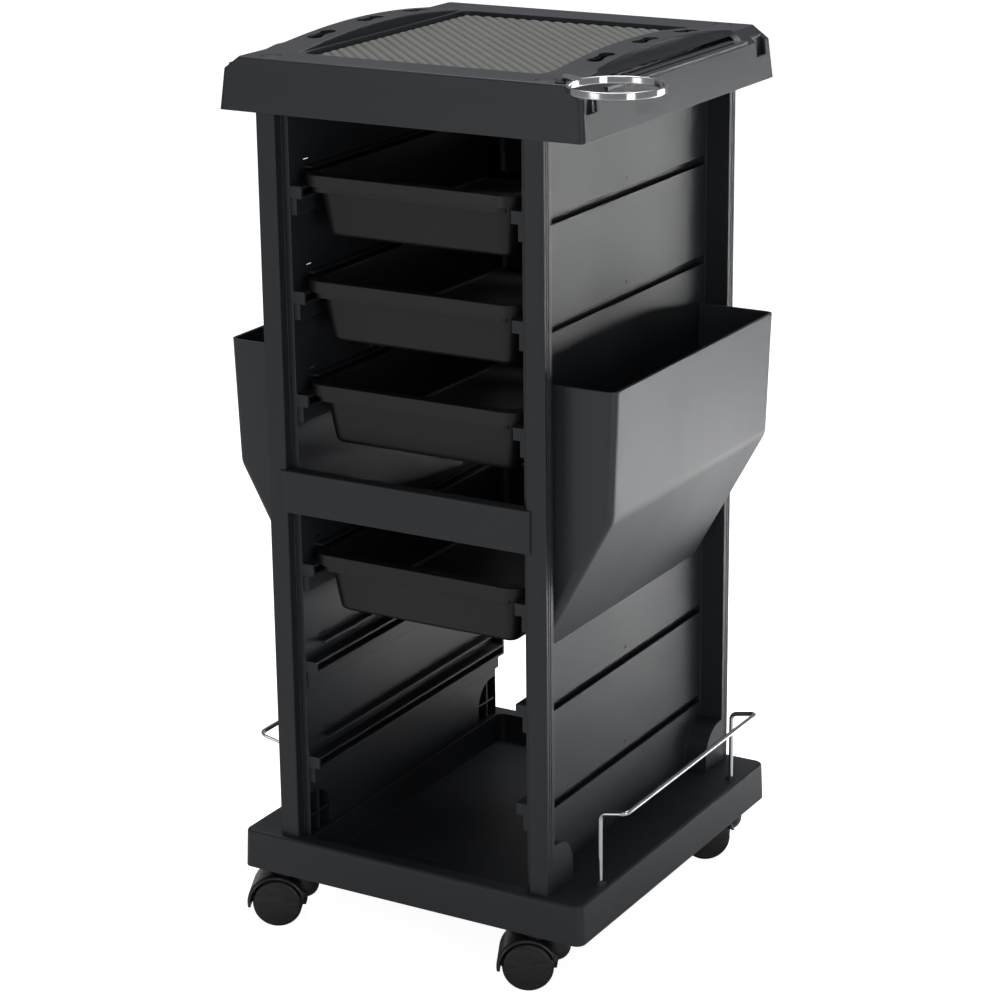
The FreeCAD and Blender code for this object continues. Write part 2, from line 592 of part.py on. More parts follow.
def top_deck():
    shell = deck_block(0, SKIRT_BOTTOM_Z, DECK_TOP_Z)
    shell = soften(shell, 1.8, lambda b: b.ZMin > DECK_TOP_Z - 0.01)
    cavity = deck_block(3.0, SKIRT_BOTTOM_Z - 1, DECK_TOP_Z - DECK_SKIN)
    cavity = cavity.cut(mat_recess(3.0, DECK_TOP_Z - MAT_RECESS - 3, DECK_TOP_Z + 1))
    ridges = [ridge(), mirrored(ridge())]
    cuts = trough()
    cuts += [lobed_slot(y, 0, INSERT_LOW_Z, RIDGE_TOP_Z + 6) for y in TOOL_HOLE_YS]
    # open square notches in the skirt at both ends of the grip
    cuts += [box(184, 200, y - NOTCH_WIDTH / 2, y + NOTCH_WIDTH / 2, NOTCH_LOW_Z, CHAMFER_Z + 3)
             for y in NOTCH_YS]
    liner = box(168.5, DECK_HALF_WIDTH - DECK_DRAFT - 0.5, -142, 142, CHAMFER_Z - 3, CHAMFER_Z + 4)
    notch_backs = [box(181, 184.2, y - NOTCH_WIDTH / 2 - 2, y + NOTCH_WIDTH / 2 + 2,
                       NOTCH_LOW_Z - 3, CHAMFER_Z + 5) for y in NOTCH_YS]
    boss = cylinder(7.5, 34, RING_PIN[0], RING_PIN[1], DECK_TOP_Z - 36)
    body = union([shell.cut(cavity)] + ridges + [liner, mirrored(liner), boss]
                 + notch_backs + [mirrored(back) for back in notch_backs])
    for cut in cuts:
        body = body.cut(cut)
        body = body.cut(mirrored(cut))
    body = body.cut(mat_recess(0, DECK_TOP_Z - MAT_RECESS, DECK_TOP_Z + 12))
    for sx in (-1, 1):
        for sy in (-1, 1):
            x, y = sx * CAP_X, sy * CAP_Y
            body = body.fuse(cylinder(CAP_RADIUS + 2, DECK_TOP_Z - 1 - DECK_LEG_Z, x, y, DECK_LEG_Z))
            body = body.cut(cylinder(CAP_RADIUS + 0.2, 3, x, y, DECK_TOP_Z - CAP_THICKNESS))
            body = body.cut(cylinder(HEAD_ROOM_RADIUS, 6, x, y, DECK_SCREW_SEAT_Z))
            body = body.cut(cylinder(SCREW_HOLE, 12, x, y, DECK_LEG_Z - 1))
    body = body.cut(cylinder(BUSH_RADIUS, BUSH_LENGTH + 10, RING_PIN[0], RING_PIN[1],
                             DECK_TOP_Z - BUSH_LENGTH))
    return body


def top_mat():
    """Rubber mat lying in the deck recess."""
    return tapered_block([
        (-MAT_HALF_WIDTH + 0.6, MAT_HALF_WIDTH - 0.6, MAT_FRONT_Y + 0.6, MAT_BACK_Y - 0.6, 8.4,
         DECK_TOP_Z - MAT_RECESS),
        (-MAT_HALF_WIDTH + 0.6, MAT_HALF_WIDTH - 0.6, MAT_FRONT_Y + 0.6, MAT_BACK_Y - 0.6, 8.4,
         DECK_TOP_Z - MAT_RECESS + 3.5)])


def plug_caps():
    caps = []
    for sx in (-1, 1):
        for sy in (-1, 1):
            cap = cylinder(CAP_RADIUS, CAP_THICKNESS, sx * CAP_X, sy * CAP_Y,
                           DECK_TOP_Z - CAP_THICKNESS)
            caps.append(soften(cap, 0.4, lambda b: b.ZMin > DECK_TOP_Z - 0.01))
    return caps


# ---------------------------------------------------------------- dryer ring
def ring_bush():
    """Flanged sleeve pressed into the deck corner; the ring's pin turns in it."""
    x, y = RING_PIN
    sleeve = cylinder(BUSH_RADIUS, BUSH_LENGTH, x, y, DECK_TOP_Z - BUSH_LENGTH)
    flange = cylinder(BUSH_RADIUS + 2.2, 1.2, x, y, DECK_TOP_Z)
    sleeve = sleeve.fuse(flange).removeSplitter()
    return sleeve.cut(cylinder(RING_ROD_RADIUS + RUNNING_GAP, BUSH_LENGTH + 2, x, y,
                               DECK_TOP_Z - BUSH_LENGTH + 2))


def dryer_ring():
    centre = Vector(RING_CENTRE[0], RING_CENTRE[1], RING_Z)
    low = RING_Z - RING_HEIGHT / 2
    hoop = cylinder(RING_RADIUS, RING_HEIGHT, centre.x, centre.y, low)
    hoop = hoop.cut(cylinder(RING_RADIUS - RING_BAND, RING_HEIGHT, centre.x, centre.y, low))
    hoop = hoop.makeFillet(1.0, [edge for edge in hoop.Edges if edge.BoundBox.ZLength < 0.01])
    pin = Vector(RING_PIN[0], RING_PIN[1], RING_Z)
    reach = (centre - pin).Length - RING_RADIUS + RING_BAND / 2
    joint = pin + (centre - pin).normalize() * reach
    arm = wire_sweep([(pin.x, pin.y, RING_Z - PIN_LENGTH), tuple(pin), tuple(joint)],
                     4.5, RING_ROD_RADIUS)
    return hoop.fuse(arm).removeSplitter()


# ---------------------------------------------------------------- trays
def tray(level):
    """Open tray whose rim slides on the runners at one level."""
    runner_top = level + RUNNER_HEIGHT / 2
    top = runner_top + TRAY_RIM_HEIGHT
    low = top - TRAY_DEPTH
    rim = tapered_block([centred(TRAY_RIM_HALF_WIDTH, TRAY_BACK_Y, 20, runner_top + 0.02),
                         centred(TRAY_RIM_HALF_WIDTH, TRAY_BACK_Y, 20, top)])
    apron = tapered_block([centred(TRAY_RIM_HALF_WIDTH - 8, TRAY_BACK_Y - 0.2, 16, runner_top - 4.5),
                           centred(TRAY_RIM_HALF_WIDTH - 8, TRAY_BACK_Y, 16, runner_top + 1)])
    apron = apron.common(box(-120, 120, -200, -150, 0, 900))
    under = tapered_block([centred(TRAY_RIM_HALF_WIDTH - 2.4, TRAY_BACK_Y - 2.4, 17.6, runner_top - 10),
                           centred(TRAY_RIM_HALF_WIDTH - 2.4, TRAY_BACK_Y - 2.4, 17.6, top - 2.4)])
    skin = rim.fuse(apron).cut(under)
    bowl = tapered_block([centred(*BOWL_LOW, low), centred(*BOWL_TOP, top - 1.2)])
    bowl = soften(bowl, 6, lambda b: b.ZMax < low + 0.01)
    inside = tapered_block([centred(*[size - TRAY_WALL for size in BOWL_LOW], low + TRAY_WALL),
                            centred(*[size - TRAY_WALL for size in BOWL_TOP], top + 0.1)])
    inside = soften(inside, 4, lambda b: b.ZMax < low + TRAY_WALL + 0.01)
    body = union([skin, bowl]).cut(inside)
    return soften(body, 1.0, lambda b: b.ZMin > top - 0.01 and b.YMax - b.YMin < 2 * TRAY_BACK_Y + 1
                  and (abs(b.XMin) > 95 or abs(b.YMin) > 170))


# ---------------------------------------------------------------- side bins
def bin_block(inset, extra_top):
    """Wedge-shaped bin with rounded outer corners, as a solid block."""
    x_in = BIN_INNER_X + inset
    slope = Vector(BIN_BEND_X - BIN_INNER_X, 0, BIN_BEND_Z - BIN_LOW_Z)
    across = inset * slope.Length / slope.z
    top = Vector(BIN_OUTER_X - inset, 0, BIN_RIM_Z + extra_top)
    low_in = Vector(x_in, 0, BIN_LOW_Z + across * slope.z / slope.x + inset * slope.z / slope.x)
    bend = Vector(BIN_BEND_X - inset, 0, BIN_BEND_Z + inset * 0.55)
    points = [Vector(x_in, 0, BIN_RIM_Z + extra_top), top, bend, low_in]
    shifted = [(point.x, -BIN_HALF_LENGTH + inset, point.z) for point in points]
    block = prism(shifted, (0, 2 * (BIN_HALF_LENGTH - inset), 0))
    block = soften(block, 22 - inset, lambda b: b.YLength > 300 and abs(b.XMax - bend.x) < 0.1
                   and abs(b.ZMax - bend.z) < 0.1)
    return soften(block, 9 - inset, lambda b: b.YLength < 0.01 and b.XMax > BIN_BEND_X - inset - 30
                  and not (b.ZLength < 0.01) and b.XMin > x_in + 0.01
                  or (b.YLength < 0.01 and b.XMin < x_in + 0.01 and b.ZLength > 50
                      and b.XLength > 20))


def bin_hooks():
    """Three hooks behind the bin that drop over a slat of the side frame."""
    slot_low = BIN_HOOK_LEVEL - RUNNER_HEIGHT / 2 - SLOT_HEIGHT
    inner_face = PANEL_OUTER_X - PANEL_THICKNESS
    hooks = []
    for y in BIN_HOOK_YS:
        hooks.append(box(inner_face - 3.2, BIN_INNER_X + 1, y - 12, y + 12,
                         slot_low + 0.2, slot_low + 3.6))
        hooks.append(box(inner_face - 3.2, inner_face - 0.4, y - 12, y + 12,
                         slot_low - 4, slot_low + 3.6))
    return hooks


def right_bin():
    shell = bin_block(0, 0).cut(bin_block(BIN_WALL, 5))
    inner_half = BIN_HALF_LENGTH - BIN_WALL
    shell = shell.cut(box(BIN_INNER_X - 1, BIN_INNER_X + BIN_WALL + 0.5, -inner_half, inner_half,
                          BIN_BACK_Z, BIN_RIM_Z + 1))
    return union([shell] + bin_hooks())


# ---------------------------------------------------------------- guard rails
def right_guard_rail():
    x, y = GUARD_FOOT
    path = [(x, -y, BASE_TOP_Z - 14), (x, -y, GUARD_SHOULDER_Z), (GUARD_BAR_X, -y, GUARD_BAR_Z),
            (GUARD_BAR_X, y, GUARD_BAR_Z), (x, y, GUARD_SHOULDER_Z), (x, y, BASE_TOP_Z - 14)]
    return wire_sweep(path, 7.0, GUARD_WIRE_RADIUS)


# ---------------------------------------------------------------- casters
def placed(shape, caster):
    x, y, angle = CASTERS[caster]
    copy = shape.copy()
    copy.rotate(Vector(0, 0, 0), Vector(0, 0, 1), angle)
    copy.translate(Vector(x, y, 0))
    return copy


def caster_hood():
    """Fender over both wheels, the web between them and the round stem housing."""
    x, _, z = WHEEL_CENTRE
    half_width = WHEEL_GAP / 2 + WHEEL_WIDTH + 0.8
    web_width = WHEEL_GAP - 1.2
    room = WHEEL_RADIUS + WHEEL_CLEARANCE
    fender = cylinder(WHEEL_RADIUS + 5.5, 2 * half_width, x, -half_width, z, (0, 1, 0))
    fender = fender.makeFillet(4.0, fender.Edges[:1] + fender.Edges[2:3])
    fender = fender.common(box(x - 40, x, -40, 40, FENDER_TAIL_Z, 70).fuse(
        box(x, 30, -40, 40, FENDER_STEM_Z, 70)))
    fender = fender.cut(cylinder(room, 100, x, -50, z, (0, 1, 0)))
    web = cylinder(WHEEL_RADIUS + 3, web_width, x, -web_width / 2, z, (0, 1, 0))
    web = web.common(box(x - 40, 30, -40, 40, 17, 70))
    housing = cylinder(HOUSING_RADIUS, STEM_SEAT_Z - HOUSING_BALL_Z, 0, 0, HOUSING_BALL_Z)
    ball = Part.makeSphere(HOUSING_RADIUS, Vector(0, 0, HOUSING_BALL_Z))
    ball = ball.common(box(-20, 20, -20, 20, 20, HOUSING_BALL_Z + 1))
    crown = cylinder(half_width - 5, 6, x + 10, 0, STEM_SEAT_Z - 9.5)
    crown = crown.common(box(-60, 60, -30, 30, 40, STEM_SEAT_Z - 3))
    collar = housing.fuse(ball).fuse(crown)
    for side in (-1, 1):
        collar = collar.cut(cylinder(room, 60, x, side * web_width / 2, z, (0, side, 0)))
    body = union([fender, web, collar])
    body = body.cut(cylinder(STEM_RADIUS, 60, 0, 0, STEM_LOW_Z))
    return body.cut(cylinder(AXLE_RADIUS, 80, x, -40, z, (0, 1, 0)))


def caster_stem():
    """Steel stem: fixed in the hood, free to turn in the base socket."""
    stem = cylinder(STEM_RADIUS, STEM_TOP_Z - STEM_LOW_Z, 0, 0, STEM_LOW_Z)
    stem = soften(stem, 1.2, lambda b: b.ZMin > STEM_TOP_Z - 0.01)
    return stem


def caster_axle():
    x, _, z = WHEEL_CENTRE
    length = WHEEL_GAP + 2 * (WHEEL_WIDTH - 5)
    return cylinder(AXLE_RADIUS, length, x, -length / 2, z, (0, 1, 0))


def caster_wheel(side):
    """Half of the twin wheel: a dished disc with a rounded tread and a blind hub."""
    x, _, z = WHEEL_CENTRE
    inner = WHEEL_GAP / 2
    outer = inner + WHEEL_WIDTH
    bore = AXLE_RADIUS + RUNNING_GAP
    profile = [Vector(bore, inner, 0), Vector(8, inner, 0), Vector(8, inner + 9, 0),
               Vector(19.5, inner + 9, 0), Vector(21.5, inner + 1, 0),
               Vector(WHEEL_RADIUS - 1.5, inner + 1, 0)]
    tread_in = Part.Arc(Vector(WHEEL_RADIUS - 1.5, inner + 1, 0),
                        Vector(WHEEL_RADIUS - 0.44, inner + 1.44, 0),
                        Vector(WHEEL_RADIUS, inner + 2.5, 0))
    tread_out = Part.Arc(Vector(WHEEL_RADIUS, outer - 4, 0),
                         Vector(WHEEL_RADIUS - 1.17, outer - 1.17, 0),
                         Vector(WHEEL_RADIUS - 4, outer, 0))
    lines = [Part.makeLine(a, b) for a, b in zip(profile, profile[1:])]
    depth = outer - 4.5
    closing = [Part.makeLine(Vector(WHEEL_RADIUS, inner + 2.5, 0),
                             Vector(WHEEL_RADIUS, outer - 4, 0)),
               Part.makeLine(Vector(WHEEL_RADIUS - 4, outer, 0), Vector(7, outer + 0.7, 0)),
               Part.makeLine(Vector(7, outer + 0.7, 0), Vector(0, outer + 0.7, 0)),
               Part.makeLine(Vector(0, outer + 0.7, 0), Vector(0, depth, 0)),
               Part.makeLine(Vector(0, depth, 0), Vector(bore, depth, 0)),
               Part.makeLine(Vector(bore, depth, 0), profile[0])]
    outline = Part.Wire(Part.__sortEdges__(lines + closing + [tread_in.toShape(), tread_out.toShape()]))
    wheel = Part.Face(outline).revolve(Vector(0, 0, 0), Vector(0, 1, 0), 360)
    if side < 0:
        wheel = wheel.mirror(Vector(0, 0, 0), Vector(0, 1, 0))
    wheel.translate(Vector(x, 0, z))
    return wheel


def caster_sockets():
    """Sleeves pressed into the base; the stems turn in them."""
    sockets = []
    for x, y, _ in CASTERS.values():
        sleeve = cylinder(SOCKET_RADIUS, SOCKET_LENGTH, x, y, BASE_UNDERSIDE_Z)
        bore = cylinder(STEM_RADIUS + RUNNING_GAP, SOCKET_LENGTH - 1, x, y, BASE_UNDERSIDE_Z - 0.2)
        sockets.append(sleeve.cut(bore))
    return sockets


# ---------------------------------------------------------------- write the nodes
def main():
    frame = right_frame()
    side_bin = right_bin()
    guard = right_guard_rail()
    save("base_tray", base_tray())
    save("right_side_frame", frame)
    save("left_side_frame", mirrored(frame))
    save("front_cross_rail", cross_rail(-1))
    save("back_cross_rail", cross_rail(1))
    save("rail_screws", rail_screws())
    save("frame_screws", frame_screws())
    save("deck_screws", deck_screws())
    save("top_deck", top_deck())
    save("top_mat", top_mat())
    save("tool_inserts", tool_inserts())
    save("plug_caps", plug_caps())
    save("ring_bush", ring_bush())
    save("dryer_ring", dryer_ring())
    for number, level in enumerate(TRAY_LEVELS, start=1):
        save("tray_%d" % number, tray(level))
    save("right_bin", side_bin)
    save("left_bin", mirrored(side_bin))
    save("right_guard_rail", guard)
    save("left_guard_rail", mirrored(guard))
    save("caster_sockets", caster_sockets())
    for name in CASTERS:
        save(name + "_caster_hood", placed(caster_hood(), name))
        save(name + "_caster_stem", placed(caster_stem(), name))
        save(name + "_caster_axle", placed(caster_axle(), name))
        save(name + "_near_wheel", placed(caster_wheel(-1), name))
        save(name + "_far_wheel", placed(caster_wheel(1), name))


main()
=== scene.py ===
"""Studio scene of the spa trolley cart.

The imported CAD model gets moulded-plastic, rubber, chrome and steel materials. A ribbed rubber
mat and round-edged plug caps take the place of the plain ones. The stage is a pale floor under
soft light, with a camera at the three-quarter front view. Lengths are in metres.
"""
import json
import math

import bpy
from mathutils import Matrix, Vector


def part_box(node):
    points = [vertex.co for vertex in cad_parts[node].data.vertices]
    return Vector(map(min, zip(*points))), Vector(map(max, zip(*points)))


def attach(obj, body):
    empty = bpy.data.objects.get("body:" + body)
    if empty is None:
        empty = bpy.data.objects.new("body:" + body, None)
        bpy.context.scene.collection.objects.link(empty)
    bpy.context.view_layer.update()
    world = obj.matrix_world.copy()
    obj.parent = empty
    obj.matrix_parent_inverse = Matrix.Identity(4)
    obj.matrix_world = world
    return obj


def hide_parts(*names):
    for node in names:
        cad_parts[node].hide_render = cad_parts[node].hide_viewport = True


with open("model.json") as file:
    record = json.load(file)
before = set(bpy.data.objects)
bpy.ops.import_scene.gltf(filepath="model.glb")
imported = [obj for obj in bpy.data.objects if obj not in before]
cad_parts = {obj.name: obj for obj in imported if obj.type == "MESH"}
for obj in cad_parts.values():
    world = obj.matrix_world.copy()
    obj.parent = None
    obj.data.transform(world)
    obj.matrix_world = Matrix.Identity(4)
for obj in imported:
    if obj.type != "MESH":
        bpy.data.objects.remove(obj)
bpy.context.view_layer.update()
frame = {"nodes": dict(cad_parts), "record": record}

nodes = frame["nodes"]

# The floor point under the middle of the base; lights and camera are placed from it.
BASE_MIDDLE = Vector((-0.031, 0.025, 0.0))

# Surfaces
MOULDED_EDGE_RADIUS = 0.0011
WHEEL_EDGE_RADIUS = 0.0007
PAINTED_SHADE_DISTANCE = 0.3      # reach of the painted shade in recesses: how far a wall still shades the plastic beside it
PAINTED_SHADE_DEPTH = 0.9         # how much colour the painted shade leaves in the most sheltered places
SMOOTH_ANGLE = math.radians(28)

# Ribbed mat
MAT_CORNER_RADIUS = 0.0084
MAT_EDGE_ROUND = 0.0006
MAT_BORDER = 0.0048
RIB_HEIGHT = 0.0013
RIB_LIFT = 0.0001           # the grooves between the ribs lie this far above the slab
RIB_PITCH = 0.0095
RIB_STEPS = 10
RIB_DIRECTION = Vector((1.0, -1.02, 0.0)).normalized()
RIB_INSET = 0.004           # where the ribs end, from the mat's outline
RIB_CORNER_RADIUS = 0.0045
RIB_FOOT = 0.0004           # how deep the sheet of ribs reaches into the slab
SPAN_STEPS = 900            # search steps for the ends of a rib
SPAN_HALVINGS = 24

# Plug caps
CAP_RADIUS = 0.0095
CAP_STEPS = 48

# Stage
PALE = (0.93, 0.93, 0.93, 1.0)
FLOOR_HALF_SIZE = 14.0
SKY_COLOUR = (0.97, 0.98, 1.0, 1.0)
SKY_LIGHT = 0.17            # the sky's strength as a light
SKY_SEEN = 1.0              # and as the camera sees it
# Name, place and target from BASE_MIDDLE, width, height, watts, spread in degrees. The pools
# light patches of floor that the side faces mirror.
SOFTBOXES = (
    ("near_pool", (0.95, 1.2, 1.1), (0.9, 1.15, 0.0), 0.8, 0.8, 16.0, 75.0),
    ("far_pool", (2.6, 3.75, 1.5), (2.6, 3.75, 0.0), 1.6, 1.3, 195.0, 60.0),
    ("front_card", (-1.9, -5.2, 0.55), (0.1, -0.2, 0.8), 2.2, 1.1, 17.0, 180.0),
    ("edge_card", (2.5, -1.5, 0.7), (0.19, -0.1, 0.5), 0.8, 1.4, 9.0, 180.0),
    ("top_soft", (-0.3, 0.6, 3.0), (0.0, 0.0, 0.6), 2.0, 2.0, 46.0, 180.0),
    ("front_fill", (1.2, -3.2, 2.0), (0.15, 0.0, 0.6), 1.6, 1.6, 7.0, 180.0),
)

# Camera
CAMERA_PLACE = Vector((1.38957, -2.39532, 1.31602))
CAMERA_YAW = math.radians(30.274)
CAMERA_PITCH = math.radians(-17.916)
CAMERA_ROLL = math.radians(-0.651)
LENS_MM = 105.45
SENSOR_MM = 36.0


# ---------------------------------------------------------------- material helpers

def new_material(name):
    material = bpy.data.materials.new(name)
    material.use_nodes = True
    tree = material.node_tree
    tree.nodes.clear()
    output = tree.nodes.new("ShaderNodeOutputMaterial")
    shader = tree.nodes.new("ShaderNodeBsdfPrincipled")
    tree.links.new(shader.outputs["BSDF"], output.inputs["Surface"])
    return material, tree, shader


def coordinates(tree):
    return tree.nodes.new("ShaderNodeTexCoord").outputs["Object"]


def noise(tree, vector, scale, detail=3.0, roughness=0.5):
    node = tree.nodes.new("ShaderNodeTexNoise")
    node.inputs["Scale"].default_value = scale
    node.inputs["Detail"].default_value = detail
    node.inputs["Roughness"].default_value = roughness
    tree.links.new(vector, node.inputs["Vector"])
    return node.outputs["Fac"]


def stretched(tree, vector, factors):
    node = tree.nodes.new("ShaderNodeMapping")
    node.inputs["Scale"].default_value = factors
    tree.links.new(vector, node.inputs["Vector"])
    return node.outputs["Vector"]


def remap(tree, value, from_low, from_high, to_low, to_high):
    node = tree.nodes.new("ShaderNodeMapRange")
    node.inputs["From Min"].default_value = from_low
    node.inputs["From Max"].default_value = from_high
    node.inputs["To Min"].default_value = to_low
    node.inputs["To Max"].default_value = to_high
    tree.links.new(value, node.inputs["Value"])
    return node.outputs["Result"]


def mixed(tree, factor, first, second):
    node = tree.nodes.new("ShaderNodeMix")
    node.data_type = "RGBA"
    tree.links.new(factor, node.inputs["Factor"])
    for value, name in ((first, "A"), (second, "B")):
        socket = [s for s in node.inputs if s.name == name and s.type == "RGBA"][0]
        if isinstance(value, tuple):
            socket.default_value = value
        else:
            tree.links.new(value, socket)
    return [s for s in node.outputs if s.type == "RGBA"][0]


def bump(tree, height, strength, distance, normal=None):
    node = tree.nodes.new("ShaderNodeBump")
    node.inputs["Strength"].default_value = strength
    node.inputs["Distance"].default_value = distance
    tree.links.new(height, node.inputs["Height"])
    if normal is not None:
        tree.links.new(normal, node.inputs["Normal"])
    return node.outputs["Normal"]


def edge_softness(tree, radius):
    node = tree.nodes.new("ShaderNodeBevel")
    node.samples = 4
    node.inputs["Radius"].default_value = radius
    return node.outputs["Normal"]


def edge_mask(tree, soft_normal):
    """1 on rounded edges and 0 on flats, from how far the softened normal has turned."""
    geometry = tree.nodes.new("ShaderNodeNewGeometry")
    dot = tree.nodes.new("ShaderNodeVectorMath")
    dot.operation = "DOT_PRODUCT"
    tree.links.new(geometry.outputs["True Normal"], dot.inputs[0])
    tree.links.new(soft_normal, dot.inputs[1])
    return remap(tree, dot.outputs["Value"], 0.995, 0.85, 0.0, 1.0)


def painted_recess_shade(tree, distance, depth):
    """Painted shade: 1 in the open, down to depth inside slots, bins and bays, where ambient
    occlusion darkens the colour.
    """
    node = tree.nodes.new("ShaderNodeAmbientOcclusion")
    node.samples = 6
    node.inputs["Distance"].default_value = distance
    return remap(tree, node.outputs["AO"], 0.15, 0.75, depth, 1.0)


def scaled(tree, colour, amount):
    node = tree.nodes.new("ShaderNodeVectorMath")
    node.operation = "SCALE"
    tree.links.new(colour, node.inputs[0])
    tree.links.new(amount, node.inputs["Scale"])
    return node.outputs["Vector"]


def moulded_plastic(name, colour, roughness, grain=0.10, edge=1.5, coat=0.0):
    """Satin injection-moulded plastic: fine spark grain, faint flow marks, a painted highlight on
    the rounded edges, and painted shade in recesses.
    """
    material, tree, shader = new_material(name)
    place = coordinates(tree)
    soft = edge_softness(tree, MOULDED_EDGE_RADIUS)
    edge_highlight_mask = edge_mask(tree, soft)
    flow = noise(tree, stretched(tree, place, (7.0, 7.0, 2.2)), 1.0, 4.0, 0.6)
    base = tuple(colour) + (1.0,)
    darker = tuple(c * 0.82 for c in colour) + (1.0,)
    # painted highlight: rounded edges get a paler colour, broken up by noise
    highlight_colour = tuple(min(1.0, c * edge) for c in colour) + (1.0,)
    body = mixed(tree, remap(tree, flow, 0.35, 0.65, 0.0, 1.0), darker, base)
    highlight_breakup = noise(tree, place, 55.0, 6.0, 0.7)
    edge_highlight_amount = tree.nodes.new("ShaderNodeMath")
    edge_highlight_amount.operation = "MULTIPLY"
    tree.links.new(edge_highlight_mask, edge_highlight_amount.inputs[0])
    tree.links.new(remap(tree, highlight_breakup, 0.4, 0.6, 0.45, 1.0), edge_highlight_amount.inputs[1])
    skin = mixed(tree, edge_highlight_amount.outputs["Value"], body, highlight_colour)
    # painted shade: colour and specular are darkened in slots, bins and bays
    recess_shade = painted_recess_shade(tree, PAINTED_SHADE_DISTANCE, PAINTED_SHADE_DEPTH)
    tree.links.new(scaled(tree, skin, recess_shade), shader.inputs["Base Color"])
    tree.links.new(remap(tree, recess_shade, 0.0, 1.0, 0.0, 0.5), shader.inputs["Specular IOR Level"])
    tree.links.new(remap(tree, flow, 0.3, 0.7, roughness - 0.04, roughness + 0.05),
                   shader.inputs["Roughness"])
    shader.inputs["IOR"].default_value = 1.5
    shader.inputs["Coat Weight"].default_value = coat
    shader.inputs["Coat Roughness"].default_value = 0.25
    fine = noise(tree, place, 1500.0, 2.0, 0.6)
    tree.links.new(bump(tree, fine, grain, 0.0004, soft), shader.inputs["Normal"])
    return material


def chrome(name):
    """Polished wire: mirror chrome with a trace of haze and a very fine unevenness."""
    material, tree, shader = new_material(name)
    place = coordinates(tree)
    haze = noise(tree, place, 140.0, 5.0, 0.65)
    tree.links.new(mixed(tree, haze, (0.78, 0.79, 0.81, 1.0), (0.9, 0.9, 0.91, 1.0)),
                   shader.inputs["Base Color"])
    shader.inputs["Metallic"].default_value = 1.0
    tree.links.new(remap(tree, haze, 0.3, 0.8, 0.05, 0.15), shader.inputs["Roughness"])
    tree.links.new(bump(tree, noise(tree, place, 900.0, 2.0), 0.03, 0.0002),
                   shader.inputs["Normal"])
    return material


def plated_steel(name):
    """Zinc-plated steel with turning marks."""
    material, tree, shader = new_material(name)
    place = coordinates(tree)
    cloud = noise(tree, place, 260.0, 4.0)
    tree.links.new(mixed(tree, cloud, (0.36, 0.36, 0.37, 1.0), (0.62, 0.62, 0.6, 1.0)),
                   shader.inputs["Base Color"])
    shader.inputs["Metallic"].default_value = 1.0
    tree.links.new(remap(tree, cloud, 0.3, 0.7, 0.25, 0.42), shader.inputs["Roughness"])
    tree.links.new(bump(tree, noise(tree, place, 2600.0, 2.0), 0.12, 0.0003),
                   shader.inputs["Normal"])
    return material


def ribbed_rubber(name):
    """Grey-green rubber: matte, with painted shade in the grooves and painted light on the rib
    crests, a blotchy dusty tone, and a fine pebbled skin.
    """
    material, tree, shader = new_material(name)
    place = coordinates(tree)
    dust = noise(tree, place, 38.0, 6.0, 0.65)
    split = tree.nodes.new("ShaderNodeSeparateXYZ")
    tree.links.new(place, split.inputs["Vector"])
    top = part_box("top_mat")[1].z + RIB_LIFT
    # painted shade and light: the colour runs from a dark groove colour at the slab to a pale crest
    # colour at the rib tops
    crest = remap(tree, split.outputs["Z"], top - RIB_HEIGHT, top, 0.0, 1.0)
    groove = mixed(tree, dust, (0.075, 0.078, 0.07, 1.0), (0.11, 0.112, 0.1, 1.0))
    ridge = mixed(tree, dust, (0.15, 0.155, 0.14, 1.0), (0.19, 0.195, 0.18, 1.0))
    tree.links.new(mixed(tree, crest, groove, ridge), shader.inputs["Base Color"])
    tree.links.new(remap(tree, dust, 0.3, 0.7, 0.5, 0.66), shader.inputs["Roughness"])
    tree.links.new(bump(tree, noise(tree, place, 1900.0, 3.0), 0.16, 0.0004),
                   shader.inputs["Normal"])
    return material


def caster_tread(name, colour):
    """Nylon wheel: satin faces, and a greyer scuffed band on the tread."""
    material, tree, shader = new_material(name)
    place = coordinates(tree)
    soft = edge_softness(tree, WHEEL_EDGE_RADIUS)
    scratches = noise(tree, stretched(tree, place, (60.0, 60.0, 260.0)), 1.0, 6.0, 0.7)
    low = tuple(c * 0.8 for c in colour) + (1.0,)
    high = tuple(c * 1.7 for c in colour) + (1.0,)
    tree.links.new(mixed(tree, remap(tree, scratches, 0.42, 0.66, 0.0, 1.0), low, high),
                   shader.inputs["Base Color"])
    tree.links.new(remap(tree, scratches, 0.3, 0.7, 0.34, 0.5), shader.inputs["Roughness"])
    tree.links.new(bump(tree, scratches, 0.05, 0.0003, soft), shader.inputs["Normal"])
    return material


